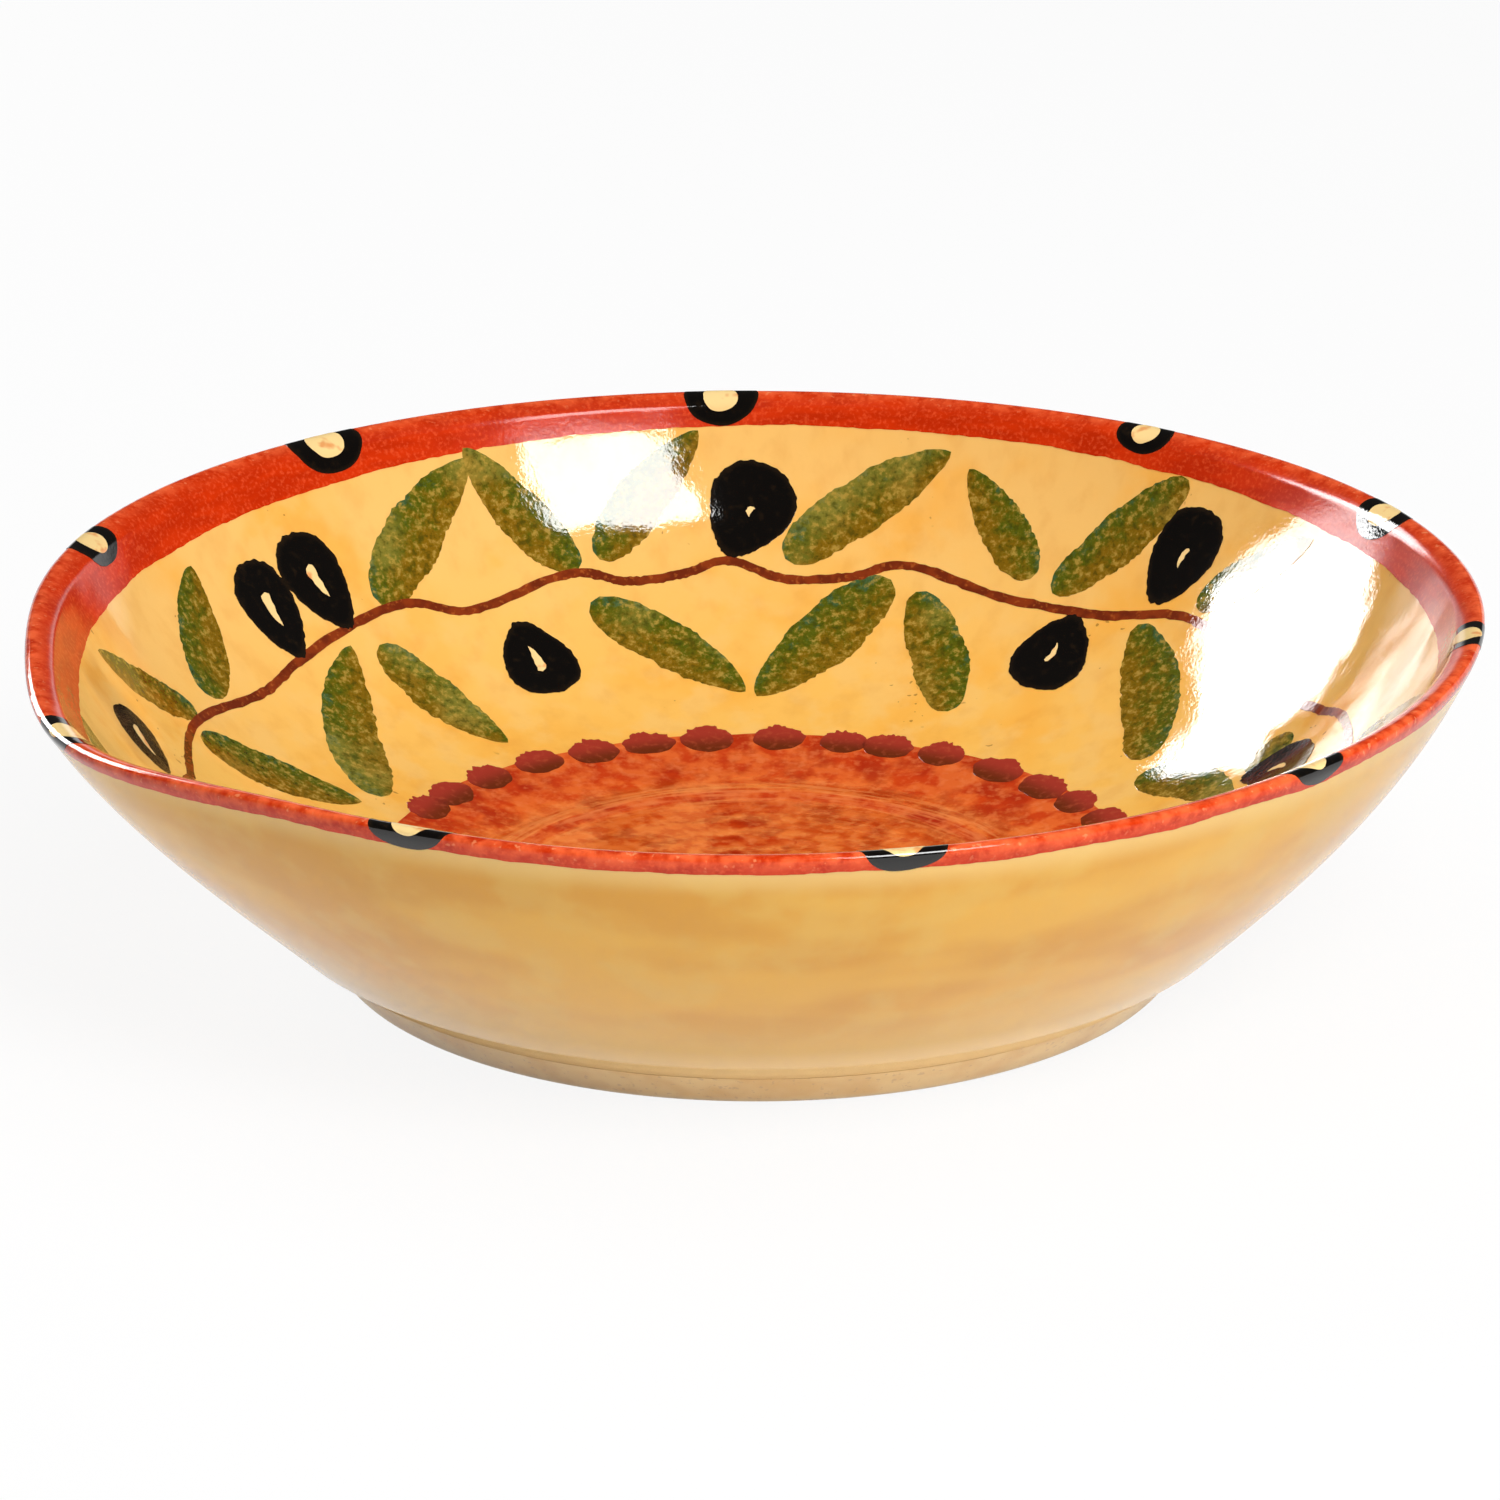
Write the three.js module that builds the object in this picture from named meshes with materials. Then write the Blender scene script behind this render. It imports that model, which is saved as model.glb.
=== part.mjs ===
// A hand-thrown glazed serving bowl on a foot ring, in millimetres with +Z up.
// The origin is the middle of the foot ring's resting face.
import * as THREE from "three";

// Overall sizes of the glazed bowl
const RIM_RADIUS = 150.3;
const RIM_HEIGHT = 76.7;
const FOOT_RADIUS = 89;
const FOOT_HEIGHT = 7.9;
const FOOT_WIDTH = 11;
const FOOT_FLARE = 6.5;
const FOOT_EDGE_ROUND = 1.5;

// The wall outside: past a ledge above the foot it leans out, then turns up towards the lip
const LEDGE_WIDTH = 7.1;
const LEDGE_RISE = 4.8;
const LEDGE_MARGIN = 0.5;
const BASE_ANGLE = THREE.MathUtils.degToRad(44.9);
const BASE_SWEEP = 18.2;
const RIM_ANGLE = THREE.MathUtils.degToRad(69);
const RIM_SWEEP = 29;

// The wall inside: a flat floor, a long cove and a wall that follows the outside
const FLOOR_THICKNESS = 4.6;
const FLOOR_INSET = 63.1;
const COVE_REACH = 6.9;
const WALL = 7.5;
const LIP_THICKNESS = 5.5;
const LIP_SWEEP = 3.4;

// Coats over the fired clay, and where their colours change
const COAT = 0.5;
const COAT_GAP = 0.3;
const LUTING_GAP = 0.3;
const BAND_OVERHANG = 2;
const BAND_DROP = 5.5;
const DISC_RADIUS = 80;
const OUTER_GLAZE_START = 1;

// Hand-made wobble of the rim, as waves around it: how many, how far, and the angle of a crest
const PLAN_WAVES = [
  { count: 2, reach: 2.1, crest: 3 },
  { count: 3, reach: 1.7, crest: 28 },
];
const HEIGHT_WAVES = [
  { count: 1, reach: 1.2, crest: 78 },
  { count: 2, reach: 0.5, crest: 100 },
];
// One place where the soft rim was pulled out and sank: its angle and how wide it is, in degrees
const BULGE_ANGLE = 208;
const BULGE_SPREAD = 16;
const BULGE_REACH = 8;
const BULGE_DIP = 2.9;
const WOBBLE_POWER = 1.5;

// Fineness of the facets
const TURN_STEPS = 60;
const OUTER_STEPS = 8;
const LIP_STEPS = 6;
const INNER_STEPS = 11;
const DISC_STEPS = 5;
const BAND_EDGE_STEPS = 2;
const ROUND_STEPS = 3;

const underside = FOOT_HEIGHT + LUTING_GAP;
const footTopRadius = FOOT_RADIUS + FOOT_FLARE;
const ledgeRadius = footTopRadius + LEDGE_MARGIN;
const wallBase = new THREE.Vector2(ledgeRadius + LEDGE_WIDTH, underside + LEDGE_RISE);
const floorTop = underside + FLOOR_THICKNESS;

function towards(point, angle, length) {
  return new THREE.Vector2(point.x + length * Math.cos(angle), point.y + length * Math.sin(angle));
}

// The glazed skin as one path of (radius, height): up the outside, over the lip, down to the middle
function glazedSkin() {
  const lipRise = 0.75 * LIP_SWEEP * Math.sin(RIM_ANGLE);
  const lipOut = new THREE.Vector2(RIM_RADIUS, RIM_HEIGHT - lipRise);
  const lipIn = new THREE.Vector2(RIM_RADIUS - LIP_THICKNESS, lipOut.y);
  const baseHandle = towards(wallBase, BASE_ANGLE, BASE_SWEEP);
  const rimHandle = towards(lipOut, RIM_ANGLE, -RIM_SWEEP);
  const lean = lipOut.clone().sub(wallBase).angle();
  const innerHandle = towards(rimHandle, lean + Math.PI / 2, WALL);
  const coveHandle = new THREE.Vector2(wallBase.x + COVE_REACH, floorTop);
  const floorEdge = new THREE.Vector2(wallBase.x - FLOOR_INSET, floorTop);
  const middle = new THREE.Vector2(0, floorTop);
  const lipOutHandle = towards(lipOut, RIM_ANGLE, LIP_SWEEP);
  const lipInHandle = towards(lipIn, RIM_ANGLE, LIP_SWEEP);

  const path = new THREE.CurvePath();
  path.add(new THREE.CubicBezierCurve(wallBase, baseHandle, rimHandle, lipOut));
  path.add(new THREE.CubicBezierCurve(lipOut, lipOutHandle, lipInHandle, lipIn));
  path.add(new THREE.CubicBezierCurve(lipIn, innerHandle, coveHandle, floorEdge));
  path.add(new THREE.LineCurve(floorEdge, middle));
  return path;
}

const skin = glazedSkin();
const [lipStart, lipEnd, floorStart, skinLength] = skin.getCurveLengths();

// A point on the skin, sunk below it by a depth; the clay is on the path's left
function skinPoint(distance, depth) {
  const share = distance / skinLength;
  const point = skin.getPoint(share);
  const along = skin.getTangent(share);
  return new THREE.Vector2(Math.max(0, point.x - along.y * depth), point.y + along.x * depth);
}

// The distance along the skin at which the inside has a given radius
function insideDistance(radius) {
  let near = lipEnd;
  let far = skinLength;
  while (far - near > 1e-6) {
    const middle = (near + far) / 2;
    if (skin.getPoint(middle / skinLength).x > radius) near = middle;
    else far = middle;
  }
  return near;
}

// Evenly spaced distances along one stretch, without its last end
function stretch(from, to, steps) {
  return Array.from({ length: steps }, (_, i) => from + ((to - from) * i) / steps);
}

// The sum of some waves at an angle around the bowl
function waveAt(waves, angle) {
  let sum = 0;
  for (const { count, reach, crest } of waves) {
    sum += reach * Math.cos(count * (angle - THREE.MathUtils.degToRad(crest)));
  }
  return sum;
}

// How much of the bulge is felt at an angle: 1 at its middle, fading to 0 on both sides
function bulgeAt(angle) {
  const turn = angle - THREE.MathUtils.degToRad(BULGE_ANGLE);
  const away = Math.atan2(Math.sin(turn), Math.cos(turn));
  return Math.exp(-((away / THREE.MathUtils.degToRad(BULGE_SPREAD)) ** 2));
}

// Moves every point with the wobble of the hand-made rim, which fades out towards the foot
function wobble(geometry) {
  const places = geometry.attributes.position;
  for (let i = 0; i < places.count; i += 1) {
    const x = places.getX(i);
    const y = places.getY(i);
    const z = places.getZ(i);
    const radius = Math.hypot(x, y);
    const angle = Math.atan2(y, x);
    const rise = Math.max(0, (z - underside) / (RIM_HEIGHT - underside));
    const share = (radius / RIM_RADIUS) * rise ** WOBBLE_POWER;
    const bulge = bulgeAt(angle);
    const outward = waveAt(PLAN_WAVES, angle) + BULGE_REACH * bulge;
    const upward = waveAt(HEIGHT_WAVES, angle) - BULGE_DIP * bulge;
    const reach = radius + share * outward;
    places.setXYZ(i, reach * Math.cos(angle), reach * Math.sin(angle), z + share * upward);
  }
}

function turned(name, profile, colour, roughness) {
  const geometry = new THREE.LatheGeometry(profile, TURN_STEPS);
  geometry.rotateX(Math.PI / 2);
  wobble(geometry);
  geometry.computeVertexNormals();
  const material = new THREE.MeshStandardMaterial({ color: colour, roughness, metalness: 0 });
  const mesh = new THREE.Mesh(geometry, material);
  mesh.name = name;
  return mesh;
}

// The thrown body: a flat underside, a ledge, then the skin sunk by the coat and its gap
function clayProfile() {
  const depth = COAT + COAT_GAP;
  const distances = [
    ...stretch(0, lipStart, OUTER_STEPS),
    ...stretch(lipStart, lipEnd, LIP_STEPS),
    ...stretch(lipEnd, floorStart, INNER_STEPS),
    floorStart,
    skinLength,
  ];
  const bottom = [
    new THREE.Vector2(0, underside),
    new THREE.Vector2(ledgeRadius, underside),
  ];
  return [...bottom, ...distances.map((distance) => skinPoint(distance, depth))];
}

// A coat between two distances along the skin, as a closed outline
function coatProfile(distances) {
  const face = distances.map((distance) => skinPoint(distance, 0));
  const back = distances.map((distance) => skinPoint(distance, COAT)).reverse();
  return [...face, ...back, face[0]];
}

// The luted foot ring: flat to rest on, flared out to the underside, with softened lower edges
function footProfile() {
  const inside = FOOT_RADIUS - FOOT_WIDTH;
  const round = FOOT_EDGE_ROUND;
  const flare = Math.atan2(FOOT_HEIGHT, FOOT_FLARE);
  const outerRound = towards(new THREE.Vector2(FOOT_RADIUS, 0), flare, round);
  const outline = new THREE.Path();
  outline.moveTo(inside + round, 0);
  outline.lineTo(FOOT_RADIUS - round, 0);
  outline.quadraticCurveTo(FOOT_RADIUS, 0, outerRound.x, outerRound.y);
  outline.lineTo(footTopRadius, FOOT_HEIGHT);
  outline.lineTo(inside, FOOT_HEIGHT);
  outline.lineTo(inside, round);
  outline.quadraticCurveTo(inside, 0, inside + round, 0);
  return outline.getPoints(ROUND_STEPS);
}

const bandOuterEdge = lipStart - BAND_OVERHANG;
const bandInnerEdge = lipEnd + BAND_DROP;
const discEdge = insideDistance(DISC_RADIUS);

const outerGlaze = [
  ...stretch(OUTER_GLAZE_START, bandOuterEdge - COAT_GAP, OUTER_STEPS),
  bandOuterEdge - COAT_GAP,
];
const rimBand = [
  ...stretch(bandOuterEdge, lipStart, BAND_EDGE_STEPS),
  ...stretch(lipStart, lipEnd, LIP_STEPS),
  ...stretch(lipEnd, bandInnerEdge, BAND_EDGE_STEPS),
  bandInnerEdge,
];
const innerGlaze = [
  ...stretch(bandInnerEdge + COAT_GAP, discEdge - COAT_GAP, INNER_STEPS),
  discEdge - COAT_GAP,
];
const centreDisc = [
  ...stretch(discEdge, skinLength, DISC_STEPS),
  skinLength,
];

const bowl = new THREE.Group();
bowl.name = "serving_bowl";
bowl.add(turned("clay_body", clayProfile(), 0xd8b083, 0.85));
bowl.add(turned("foot_ring", footProfile(), 0xdcb783, 0.45));
bowl.add(turned("outer_glaze", coatProfile(outerGlaze), 0xe0ad5c, 0.2));
bowl.add(turned("inner_glaze", coatProfile(innerGlaze), 0xecbb66, 0.15));
bowl.add(turned("rim_band", coatProfile(rimBand), 0xc24c28, 0.2));
bowl.add(turned("centre_disc", coatProfile(centreDisc), 0xb9431f, 0.2));

export default bowl;
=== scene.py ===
# %% [markdown]
# # A hand-painted serving bowl
# The bowl is thrown from pale clay, dipped in yellow glaze and painted by hand: a red band over the lip,
# a branch with leaves and olives round the inside, and a red disc in a ring of dabs in the bottom.
# The measured solids are loaded first as a fixed frame, and every piece below dresses them.

# %% Load the measured bowl
import bisect
import math

import bmesh
import bpy
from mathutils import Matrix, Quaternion, Vector, noise
from mathutils.geometry import interpolate_bezier


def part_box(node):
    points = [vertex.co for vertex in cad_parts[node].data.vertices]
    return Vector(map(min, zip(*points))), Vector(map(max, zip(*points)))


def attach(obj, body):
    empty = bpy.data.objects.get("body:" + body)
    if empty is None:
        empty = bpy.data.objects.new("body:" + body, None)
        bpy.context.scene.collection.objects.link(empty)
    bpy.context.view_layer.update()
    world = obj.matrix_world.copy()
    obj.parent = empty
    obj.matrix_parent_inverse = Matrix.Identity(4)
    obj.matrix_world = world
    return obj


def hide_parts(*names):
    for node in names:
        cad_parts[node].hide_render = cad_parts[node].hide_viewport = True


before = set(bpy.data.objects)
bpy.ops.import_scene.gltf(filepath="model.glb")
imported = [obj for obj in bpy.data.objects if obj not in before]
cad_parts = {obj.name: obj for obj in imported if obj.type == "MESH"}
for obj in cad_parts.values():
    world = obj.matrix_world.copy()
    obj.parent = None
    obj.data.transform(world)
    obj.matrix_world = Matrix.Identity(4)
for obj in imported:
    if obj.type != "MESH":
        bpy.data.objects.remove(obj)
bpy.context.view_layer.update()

MM = 0.001

# %% [markdown]
# ## The section
# A thrown bowl is one line turned round an axis. The line goes up the outside, over the lip and down
# the inside to the middle. It could be drawn point by point, but three curves with two handles each,
# and a straight floor, give the same sweep with a few numbers that can be read and changed.
# Places on the bowl are later given as an angle round it and a distance along this line.

# %% The sizes of the section, in millimetres
RIM_RADIUS = 150.3
RIM_HEIGHT = 76.7
LEDGE_MARGIN = 0.5
LEDGE_WIDTH = 7.1
LEDGE_RISE = 4.8
BASE_SLOPE = 44.9
BASE_SWEEP = 18.2
RIM_SLOPE = 69.0
RIM_SWEEP = 29.0
FLOOR_THICKNESS = 4.6
FLOOR_INSET = 63.1
COVE_REACH = 6.9
WALL = 7.5
LIP_THICKNESS = 5.5
LIP_SWEEP_OUT = 4.8
LIP_SWEEP_IN = 2.0

foot_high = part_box("foot_ring")[1]
foot_top_radius = foot_high.x / MM
foot_top = foot_high.z / MM
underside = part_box("clay_body")[0].z / MM
floor_top = underside + FLOOR_THICKNESS
print(f"foot {foot_top:.1f} high, underside at {underside:.1f}, floor at {floor_top:.1f}")

# %% Corners and handles of the section
# A curve between two handles climbs about three quarters of their mean height.
CREST_SHARE = 0.75


def stepped(point, slope, reach):
    turn = math.radians(slope)
    return point + reach * Vector((math.cos(turn), math.sin(turn)))


lip_sweep = (LIP_SWEEP_OUT + LIP_SWEEP_IN) / 2
lip_rise = CREST_SHARE * lip_sweep * math.sin(math.radians(RIM_SLOPE))
ledge_radius = foot_top_radius + LEDGE_MARGIN
wall_base = Vector((ledge_radius + LEDGE_WIDTH, underside + LEDGE_RISE))
lip_out = Vector((RIM_RADIUS, RIM_HEIGHT - lip_rise))
lip_in = lip_out - Vector((LIP_THICKNESS, 0))
floor_edge = Vector((wall_base.x - FLOOR_INSET, floor_top))
middle = Vector((0, floor_top))

rim_handle = stepped(lip_out, RIM_SLOPE, -RIM_SWEEP)
lip_out_handle = stepped(lip_out, RIM_SLOPE, LIP_SWEEP_OUT)
lip_in_handle = stepped(lip_in, RIM_SLOPE, LIP_SWEEP_IN)
lean = math.degrees(math.atan2(lip_out.y - wall_base.y, lip_out.x - wall_base.x))
inner_handle = stepped(rim_handle, lean + 90, WALL)
cove_handle = Vector((wall_base.x + COVE_REACH, floor_top))
print(f"the wall leans at {lean:.1f} degrees, and the lip stands {lip_rise:.1f} mm above it")

# %% The section as one line of points
POINTS_PER_CURVE = 160

curves = [
    (wall_base, stepped(wall_base, BASE_SLOPE, BASE_SWEEP), rim_handle, lip_out),
    (lip_out, lip_out_handle, lip_in_handle, lip_in),
    (lip_in, inner_handle, cove_handle, floor_edge),
    (floor_edge, floor_edge.lerp(middle, 1 / 3), floor_edge.lerp(middle, 2 / 3), middle),
]
section = [wall_base]
for curve in curves:
    section += interpolate_bezier(*curve, POINTS_PER_CURVE)[1:]

run = [0.0]
for here, there in zip(section, section[1:]):
    run.append(run[-1] + (there - here).length)

facing = []
for before, after in zip([section[0]] + section[:-1], section[1:] + [section[-1]]):
    along = (after - before).normalized()
    facing.append(Vector((along.y, -along.x)))

lip_start, lip_end, section_end = [run[k * (POINTS_PER_CURVE - 1)] for k in (1, 2, 4)]
lip_crest = (lip_start + lip_end) / 2
inside_length = section_end - lip_end
print(f"outside {lip_start:.1f} mm, lip {lip_end - lip_start:.1f} mm, inside {inside_length:.1f} mm")

# %% [markdown]
# ## The hand in the clay
# A thrown bowl isn't quite round. Its rim runs in and out and up and down in slow waves, and in one
# place it was pulled out and sank a little. Fingers leave low rings in the floor. Both are added as
# formulas to every point, so that clay, glaze and paint all follow the same surface.

# %% From a place on the section to a place in the room
# waves: how many go round, their height in mm, and the angle of a crest
PLAN_WAVES = [(2, 2.1, 3), (3, 1.7, 28)]
HEIGHT_WAVES = [(1, 1.2, 78), (2, 0.5, 100)]
BULGE_ANGLE = 208
BULGE_SPREAD = 16
BULGE_REACH = 8.0
BULGE_DIP = 2.9
WOBBLE_POWER = 1.5
FINGER_RING_RADIUS = 57.0
FINGER_RING_WIDTH = 2.6
FINGER_RING_HEIGHT = 0.45
FINGER_RIPPLE_STEP = 9.5
FINGER_RIPPLE_HEIGHT = 0.05


def finger_rings(radius):
    ring = FINGER_RING_HEIGHT * math.exp(-(((radius - FINGER_RING_RADIUS) / FINGER_RING_WIDTH) ** 2))
    fade = min(1.0, max(0.0, (FINGER_RING_RADIUS - radius) / FINGER_RIPPLE_STEP))
    return ring + fade * FINGER_RIPPLE_HEIGHT * math.sin(math.tau * radius / FINGER_RIPPLE_STEP)


def on_section(distance, lift=0.0):
    spot = min(max(bisect.bisect_right(run, distance) - 1, 0), len(section) - 2)
    share = (distance - run[spot]) / (run[spot + 1] - run[spot])
    point = section[spot].lerp(section[spot + 1], share)
    if distance > lip_end:
        lift += finger_rings(point.x)
    return point + facing[spot].lerp(facing[spot + 1], share) * lift


def waves_at(waves, degrees):
    return sum(reach * math.cos(math.radians(count * (degrees - crest))) for count, reach, crest in waves)


def thrown(degrees, radius, height):
    rise = max(0.0, (height - underside) / (RIM_HEIGHT - underside))
    share = radius / RIM_RADIUS * rise**WOBBLE_POWER
    away = (degrees - BULGE_ANGLE + 180) % 360 - 180
    bulge = math.exp(-((away / BULGE_SPREAD) ** 2))
    radius += share * (waves_at(PLAN_WAVES, degrees) + BULGE_REACH * bulge)
    height += share * (waves_at(HEIGHT_WAVES, degrees) - BULGE_DIP * bulge)
    turn = math.radians(degrees)
    return Vector((radius * math.cos(turn), radius * math.sin(turn), height)) * MM


def on_bowl(degrees, distance, lift=0.0):
    return thrown(degrees, *on_section(distance, lift))


for degrees in (0, 90, 180, 270):
    print(f"lip at {degrees} degrees, mm:", [round(v / MM, 1) for v in on_bowl(degrees, lip_crest)])

# %% [markdown]
# ## Mixing a finish
# Every finish is a small net of nodes: clouds of noise choose between a few colours, and a bump gives
# the surface its fine relief. Patterns read Object coordinates, which are metres on the bowl itself, so
# a spot of two millimetres stays two millimetres on every piece. Colours are written as they look on
# screen, from 0 to 255, and turned into the linear values that Blender mixes with.

# %% Colours and nodes
MIX_SHARE, MIX_FIRST, MIX_SECOND, MIX_RESULT = 0, 6, 7, 2


def colour(red, green, blue):
    """Linear values of a colour on screen, by the standard curve of screens."""
    shares = [value / 255 for value in (red, green, blue)]
    return [v / 12.92 if v <= 0.04045 else ((v + 0.055) / 1.055) ** 2.4 for v in shares] + [1.0]


def add_node(net, kind, inputs, **settings):
    made = net.nodes.new("ShaderNode" + kind)
    for name, value in settings.items():
        setattr(made, name, value)
    for socket, value in inputs.items():
        if isinstance(value, bpy.types.NodeSocket):
            net.links.new(value, made.inputs[socket])
        else:
            made.inputs[socket].default_value = value
    return made


def mixed(net, share, first, second):
    inputs = {MIX_SHARE: share, MIX_FIRST: first, MIX_SECOND: second}
    return add_node(net, "Mix", inputs, data_type="RGBA").outputs[MIX_RESULT]


print("a middle grey is mixed as", round(colour(128, 128, 128)[0], 3))

# %% Patterns, with sizes and heights in millimetres


def clouds(net, place, size, detail=2.0, roughness=0.5):
    inputs = {"Vector": place, "Scale": 1 / (size * MM), "Detail": detail, "Roughness": roughness}
    return add_node(net, "TexNoise", inputs).outputs[0]


def between(net, value, start, full, strength=1.0):
    """A share that is zero where the value is at start, and reaches its strength at full."""
    inputs = {"Value": value, "From Min": start, "From Max": full, "To Max": strength}
    return add_node(net, "MapRange", inputs, interpolation_type="SMOOTHSTEP").outputs[0]


def patches(net, place, size, start, full, strength=1.0, detail=2.0):
    return between(net, clouds(net, place, size, detail), start, full, strength)


def relief(net, pattern, height, **inputs):
    inputs |= {"Height": pattern, "Distance": height * MM}
    return add_node(net, "Bump", inputs).outputs[0]


print("a pattern of 2 mm has a noise scale of", round(1 / (2 * MM)))

# %% A plain finish and a glaze
GLAZE_ROUGHNESS = 0.05
GLAZE_IOR = 1.6
RIPPLE_SIZE = 0.9
RIPPLE_HEIGHT = 0.020
SWELL_SIZE = 12.0
SWELL_HEIGHT = 0.18


def new_finish(name, roughness):
    finish = bpy.data.materials.new(name)
    finish.use_nodes = True
    net = finish.node_tree
    shader = net.nodes["Principled BSDF"]
    shader.inputs["Roughness"].default_value = roughness
    place = net.nodes.new("ShaderNodeTexCoord").outputs["Object"]
    return finish, net, shader, place


def new_glaze(name, roughness=GLAZE_ROUGHNESS, ior=GLAZE_IOR):
    finish, net, shader, place = new_finish(name, roughness)
    shader.inputs["IOR"].default_value = ior
    swell = relief(net, clouds(net, place, SWELL_SIZE, detail=1.0), SWELL_HEIGHT)
    ripple = relief(net, clouds(net, place, RIPPLE_SIZE), RIPPLE_HEIGHT, Normal=swell)
    net.links.new(ripple, shader.inputs["Normal"])
    return finish, net, shader, place


def coat_with(net, shader, result):
    net.links.new(result, shader.inputs["Base Color"])


print("a glaze ripple is", RIPPLE_HEIGHT, "mm deep and", RIPPLE_SIZE, "mm wide")

# %% [markdown]
# ## Keeping a piece
# A finished mesh becomes an object at the origin, is smoothed except at its real edges, gets its
# finish, rides on the bowl's one body, and hides any measured solid that it stands for.

# %% One helper that keeps every piece
SHARP_ANGLE = 40


def keep_piece(mesh_work, name, slot, finish, *solids):
    mesh = bpy.data.meshes.new(name)
    mesh_work.to_mesh(mesh)
    mesh_work.free()
    mesh.shade_smooth()
    mesh.set_sharp_from_angle(angle=math.radians(SHARP_ANGLE))
    mesh.materials.append(finish)
    piece = bpy.data.objects.new(name, mesh)
    bpy.context.collection.objects.link(piece)
    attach(piece, "root")
    if solids:
        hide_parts(*solids)
    mesh.calc_loop_triangles()
    print(name, len(mesh.loop_triangles), "triangles")


print("edges of more than", SHARP_ANGLE, "degrees stay sharp")

# %% [markdown]
# ## The clay body
# The body shows only underneath, inside the foot ring, where the glaze was wiped off so that the bowl
# doesn't stick to the kiln shelf, and on the ledge above the foot, which has a thin wash of glaze. It is
# pale earthenware with a few dark grains and the rings of the trimming tool. A spin of the section gives
# the whole wall at once, and the waves of the hand follow.

# %% Bare clay
CLAY_PALE = colour(224, 190, 150)
CLAY_WARM = colour(204, 160, 116)
CLAY_GRAIN = colour(120, 84, 56)
LEDGE_WASH = colour(250, 214, 152)
CLAY_ROUGHNESS = 0.85
WASH_INSIDE = 2.0
WASH_OUTSIDE = 1.0


def out_from_middle(net, place):
    """A place laid flat, and how far out from the middle of the bowl it is."""
    flat = add_node(net, "VectorMath", {0: place, 1: (1, 1, 0)}, operation="MULTIPLY").outputs[0]
    return flat, add_node(net, "VectorMath", {0: flat}, operation="LENGTH").outputs["Value"]


bare_clay, net, shader, place = new_finish("bare_clay", CLAY_ROUGHNESS)
warm = patches(net, place, size=14, start=0.35, full=0.65)
tone = mixed(net, warm, CLAY_PALE, CLAY_WARM)
grains = patches(net, place, size=1.1, start=0.66, full=0.72, strength=0.8)
tone = mixed(net, grains, tone, CLAY_GRAIN)
radius = out_from_middle(net, place)[1]
washed = between(net, radius, foot_high.x - WASH_INSIDE * MM, foot_high.x + WASH_OUTSIDE * MM)
coat_with(net, shader, mixed(net, washed, tone, LEDGE_WASH))
print("bare clay coloured with", len(net.nodes), "nodes")

# %% Trimming rings and sand in the clay
TRIM_RING_STEP = 3.2
TRIM_RING_DEPTH = 0.25
SAND_SIZE = 0.7
SAND_HEIGHT = 0.15
# At a scale of 1 the wave node turns through 20 radians in a metre.
WAVE_RADIANS = 20

ring_scale = math.tau / WAVE_RADIANS / (TRIM_RING_STEP * MM)
inputs = {"Vector": place, "Scale": ring_scale, "Distortion": 1.5, "Detail": 1.0}
rings = add_node(net, "TexWave", inputs, wave_type="RINGS", rings_direction="Z").outputs[1]
trim = relief(net, rings, TRIM_RING_DEPTH, Strength=0.5)
sand = relief(net, clouds(net, place, SAND_SIZE, detail=3.0), SAND_HEIGHT, Normal=trim)
net.links.new(sand, shader.inputs["Normal"])
print("bare clay mixed from", len(net.nodes), "nodes")

# %% A helper that spins an outline
TURN_STEPS = 240
WELD = 0.001


def spun(outline, closed):
    work = bmesh.new()
    dots = [work.verts.new((max(0, radius) * MM, 0, height * MM)) for radius, height in outline]
    pairs = list(zip(dots, dots[1:]))
    if closed:
        pairs.append((dots[-1], dots[0]))
    lines = [work.edges.new(pair) for pair in pairs]
    bmesh.ops.spin(
        work,
        geom=dots + lines,
        cent=(0, 0, 0),
        axis=(0, 0, 1),
        angle=math.tau,
        steps=TURN_STEPS,
        use_merge=True,
    )
    bmesh.ops.remove_doubles(work, verts=work.verts[:], dist=WELD * MM)
    bmesh.ops.recalc_face_normals(work, faces=work.faces[:])
    return work


def wobble(work):
    for dot in work.verts:
        x, y, z = dot.co / MM
        dot.co = thrown(math.degrees(math.atan2(y, x)), math.hypot(x, y), z)


print("a full turn has", TURN_STEPS, "steps")

# %% Spin the clay body
COAT = 0.5
COAT_GAP = 0.3
OUTSIDE_STEPS = 28
LIP_STEPS = 16
INSIDE_STEPS = 90


def spread(first, last, steps):
    return [first + (last - first) * k / steps for k in range(steps)]


outside_run = spread(0, lip_start, OUTSIDE_STEPS)
lip_run = spread(lip_start, lip_end, LIP_STEPS)
inside_run = spread(lip_end, section_end, INSIDE_STEPS) + [section_end]
clay_depth = COAT + COAT_GAP
outline = [(0, underside), (ledge_radius, underside)]
outline += [on_section(distance, -clay_depth) for distance in outside_run + lip_run + inside_run]
body = spun(outline, closed=False)
wobble(body)
keep_piece(body, "clay_wall", "bare_clay", bare_clay, "clay_body")

# %% [markdown]
# ## The foot ring
# The foot is a low ring of the same clay, with a thin pale coat of glaze and a wiped resting face. It
# flares from the table up to the ledge, and its two lower edges are softened by thumb. A section with
# four corners is spun, and the lower edges get a bevel.

# %% Pale foot glaze
FOOT_CREAM = colour(250, 214, 150)
FOOT_TAN = colour(240, 196, 126)
FOOT_WIPED = colour(242, 210, 160)
FOOT_ROUGHNESS = 0.38
WIPED_TO = 2.2
WIPED_CLEAN = 0.4
DENT_SIZE = 2.5
DENT_DEPTH = 0.12


def height_of(net, place):
    return add_node(net, "SeparateXYZ", {"Vector": place}).outputs["Z"]


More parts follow.
